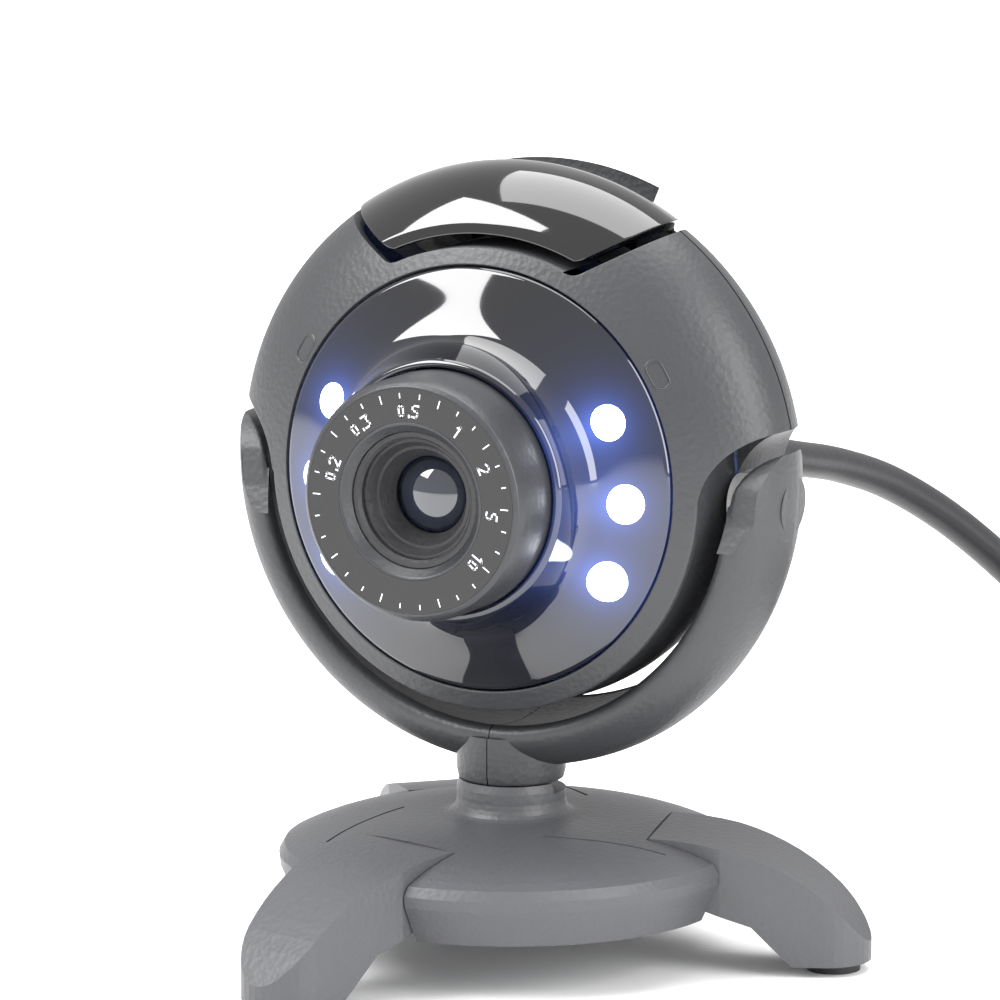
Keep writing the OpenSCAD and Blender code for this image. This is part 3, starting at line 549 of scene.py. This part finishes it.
ink = Look("white_ink")
ink.set(base_color=(0.75, 0.76, 0.78), roughness=ink.noise(2500) * 0.1 + 0.4)
quads = []
for a in np.arange(0, 360, 12):
    tall = 0.75 if a % 36 == 0 else 0.45
    quads.append([(a - 0.35, 9.55 - tall), (a + 0.35, 9.55 - tall), (a + 0.35, 9.55), (a - 0.35, 9.55)])
size, low, unit_deg = 1.05, 7.45, 57.3 / 8.0
for word, at in (("0.2", 160), ("0.3", 124), ("0.5", 88), ("1", 54), ("2", 24), ("5", -6), ("10", -38)):
    x = -0.45 * size * len(word)
    for letter in word:
        strokes = [[(x + u * size * 0.8, v * size) for u, v in path] for path in STROKES[letter]]
        for quad in ribbons(strokes, 0.16):
            quads.append([(at - px * unit_deg, low + py) for px, py in quad])
        x += size * (0.45 if letter == "." else 0.85)
print_ring("scale_print", quads, "focus", "scale_plastic", ink, 19.80)

# %% Sound slots
def slot_pill():
    """A rounded slot 2.4 by 1.2 mm, its long side along the rim, laid just off the shell."""
    a = np.linspace(0, 2 * np.pi, 40, endpoint=False)
    along = 0.62 * np.sign(np.sin(a)) + 0.6 * np.sin(a)
    across = 0.6 * np.cos(a)
    return along, across


def sound_slot(name, s):
    along, across = slot_pill()
    layers = []
    for grow, sink in ((1.22, 0.0), (1.12, 0.06), (1.0, 0.05), (0.98, -0.5), (0.01, -0.55)):
        r = 20.35 + across * grow
        q = np.radians(31) + along * grow / 20.35
        f = np.interp(r, front[:, 0], front[:, 1]) + sink + 0.01
        layers.append(np.stack([s * r * np.cos(q), -f, HEAD / MM + r * np.sin(q)], axis=-1))
    grid = MM * np.array(layers)
    grid = np.concatenate([grid, grid[:, :1]], axis=1)
    return grid if s < 0 else grid[:, ::-1]


for s_name, s_side in (("right", 1), ("left", -1)):
    skin(join("sound_slot_" + s_name, sound_slot(s_name, s_side)), knob, "head", "body_plastic")

# %% [markdown]
# ## The cable
# One tube from the boot to the plug: a hanging lead, seven and a third turns wound in
# three layers, and a short tail.

# %% Cable
def smooth_line(points, count):
    """Catmull-Rom: p(t) of each span, 0.5 (2b + (c-a)t + (2a-5b+4c-d)t^2 + (3b-a-3c+d)t^3)."""
    p = np.asarray(points, float)
    p = np.vstack([2 * p[0] - p[1], p, 2 * p[-1] - p[-2]])
    t = np.linspace(0, 1, count, endpoint=False)[:, None]
    spans = [0.5 * (2 * b + (c - a) * t + (2 * a - 5 * b + 4 * c - d) * t ** 2
                    + (3 * b - a - 3 * c + d) * t ** 3)
             for a, b, c, d in zip(p[:-3], p[1:-2], p[2:-1], p[3:])]
    return np.vstack(spans + [p[-2:-1]])


def evenly(line, step):
    """The same line with points a step apart, by its running length."""
    far = np.concatenate([[0], np.cumsum(np.linalg.norm(np.diff(line, axis=0), axis=1))])
    s = np.linspace(0, far[-1], int(far[-1] / step) + 1)
    return np.stack([np.interp(s, far, line[:, k]) for k in range(3)], axis=1), far[-1]


def tube(name, line, radius, sides=16):
    """Rings r (cos a u + sin a v) round each point, with u, v carried along the line."""
    run = np.gradient(line, axis=0)
    run /= np.linalg.norm(run, axis=1)[:, None]
    up = np.cross(run, [0.31, 0.22, 0.93])
    up /= np.linalg.norm(up, axis=1)[:, None]
    side = np.cross(run, up)
    a = np.linspace(0, 2 * np.pi, sides, endpoint=False)[None, :, None]
    rings = line[:, None] + radius * (np.cos(a) * up[:, None] + np.sin(a) * side[:, None])
    return grid_mesh(name, rings, wrap=True, caps=True)


def grid_mesh(name, rings, wrap=False, caps=False):
    """A mesh of quads over a grid of points [rows, columns, 3]."""
    rows, cols = rings.shape[:2]
    i = np.arange(rows - 1)[:, None] * cols
    j = np.arange(cols if wrap else cols - 1)[None, :]
    k = (j + 1) % cols
    quads = np.stack([i + j, i + k, i + cols + k, i + cols + j], axis=-1).reshape(-1, 4)
    faces = quads.tolist()
    if caps:
        faces += [list(range(cols))[::-1], [(rows - 1) * cols + n for n in range(cols)]]
    mesh = bpy.data.meshes.new(name)
    mesh.from_pydata(rings.reshape(-1, 3).tolist(), [], faces)
    mesh.polygons.foreach_set("use_smooth", [True] * len(faces))
    mesh.update()
    obj = bpy.data.objects.new(name, mesh)
    bpy.context.collection.objects.link(obj)
    return obj


CORD = 0.0035
lead = MM * np.array([[0, 36.2, 40.4], [0, 44, 39.3], [0.6, 52, 37.9], [1.6, 60, 36.2], [2.6, 67, 34.6],
                      [4.5, 75, 31.8], [7.5, 82.5, 27.4], [11, 89.5, 21.6], [14.5, 95.5, 15.2],
                      [18.5, 100.2, 9], [23.4, 103.2, 4.2]])
turns = np.linspace(0, 7.34, 900)
angle = np.radians(126) - 2 * np.pi * turns
whole = np.floor(turns)
step_over = np.clip((turns - whole - 0.86) / 0.14, 0, 1)
shift = whole + step_over ** 2 * (3 - 2 * step_over)
radius = np.interp(shift, [0, 1, 2, 3, 4, 5, 6, 9], [22.9, 19.25, 15.6, 15.6, 19.25, 22.9, 22.9, 22.9])
height = np.interp(shift, [0, 2, 3, 5, 6, 9], [1.85, 1.85, 5.45, 5.45, 9.05, 9.05])
coil = MM * np.stack([44 + radius * np.cos(angle), 84 + radius * np.sin(angle), height], axis=1)
tail = MM * np.array([[68.0, 78, 8.0], [70.0, 70, 5.6], [71, 63, 4.0], [71, 60, 4.0]])
route = np.vstack([smooth_line(np.vstack([lead, coil[4:5]]), 14)[:-1], coil[4:-4],
                   smooth_line(np.vstack([coil[-4:-3], tail]), 14)[1:]])
line, cord_length = evenly(route, 0.0016)
cable = tube("cable", line, CORD / 2)
cable.data.materials.append(jacket.mat)
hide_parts("usb_cable", "usb_cable_coil", "usb_cable_tail")
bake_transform(cable)
print("cable length %.3f m" % cord_length)

# %% Stage
def light(name, at, aim, size, power, tall=None):
    data = bpy.data.lights.new(name, "AREA")
    data.shape = "RECTANGLE"
    data.size = size
    data.size_y = tall or size
    data.energy = power
    obj = bpy.data.objects.new(name, data)
    obj.location = at
    way = np.array(aim, float) - np.array(at, float)
    obj.rotation_euler = (math.atan2(math.hypot(way[0], way[1]), -way[2]), 0,
                          math.atan2(way[1], way[0]) - math.pi / 2)
    bpy.context.collection.objects.link(obj)


bpy.ops.mesh.primitive_plane_add(size=6, location=(0, 0, 0))
floor = bpy.context.object
paper = Look("floor_paper")
paper.set(base_color=(0.93, 0.93, 0.93), roughness=0.9)
floor.data.materials.append(paper.mat)
light("key", (-0.55, -0.55, 0.75), (0, 0, 0.04), 0.6, 14)
light("right", (0.75, -0.15, 0.35), (0, 0, 0.04), 0.45, 7, tall=0.7)
light("top", (0.0, 0.1, 0.9), (0, 0, 0.04), 0.8, 10)
world = bpy.data.worlds.new("studio")
bpy.context.scene.world = world
world.use_nodes = True
world.node_tree.nodes["Background"].inputs[0].default_value = (1, 1, 1, 1)
world.node_tree.nodes["Background"].inputs[1].default_value = 0.9

camera = bpy.data.objects.new("camera", bpy.data.cameras.new("camera"))
camera.location = (0.26412, -0.52904, 0.14632)
camera.rotation_euler = (math.radians(90 - 10.05), 0, math.radians(26.63))
camera.data.lens = 241.3
camera.data.sensor_width = 36
bpy.context.collection.objects.link(camera)
bpy.context.scene.camera = camera
bpy.context.scene.view_settings.view_transform = "Standard"
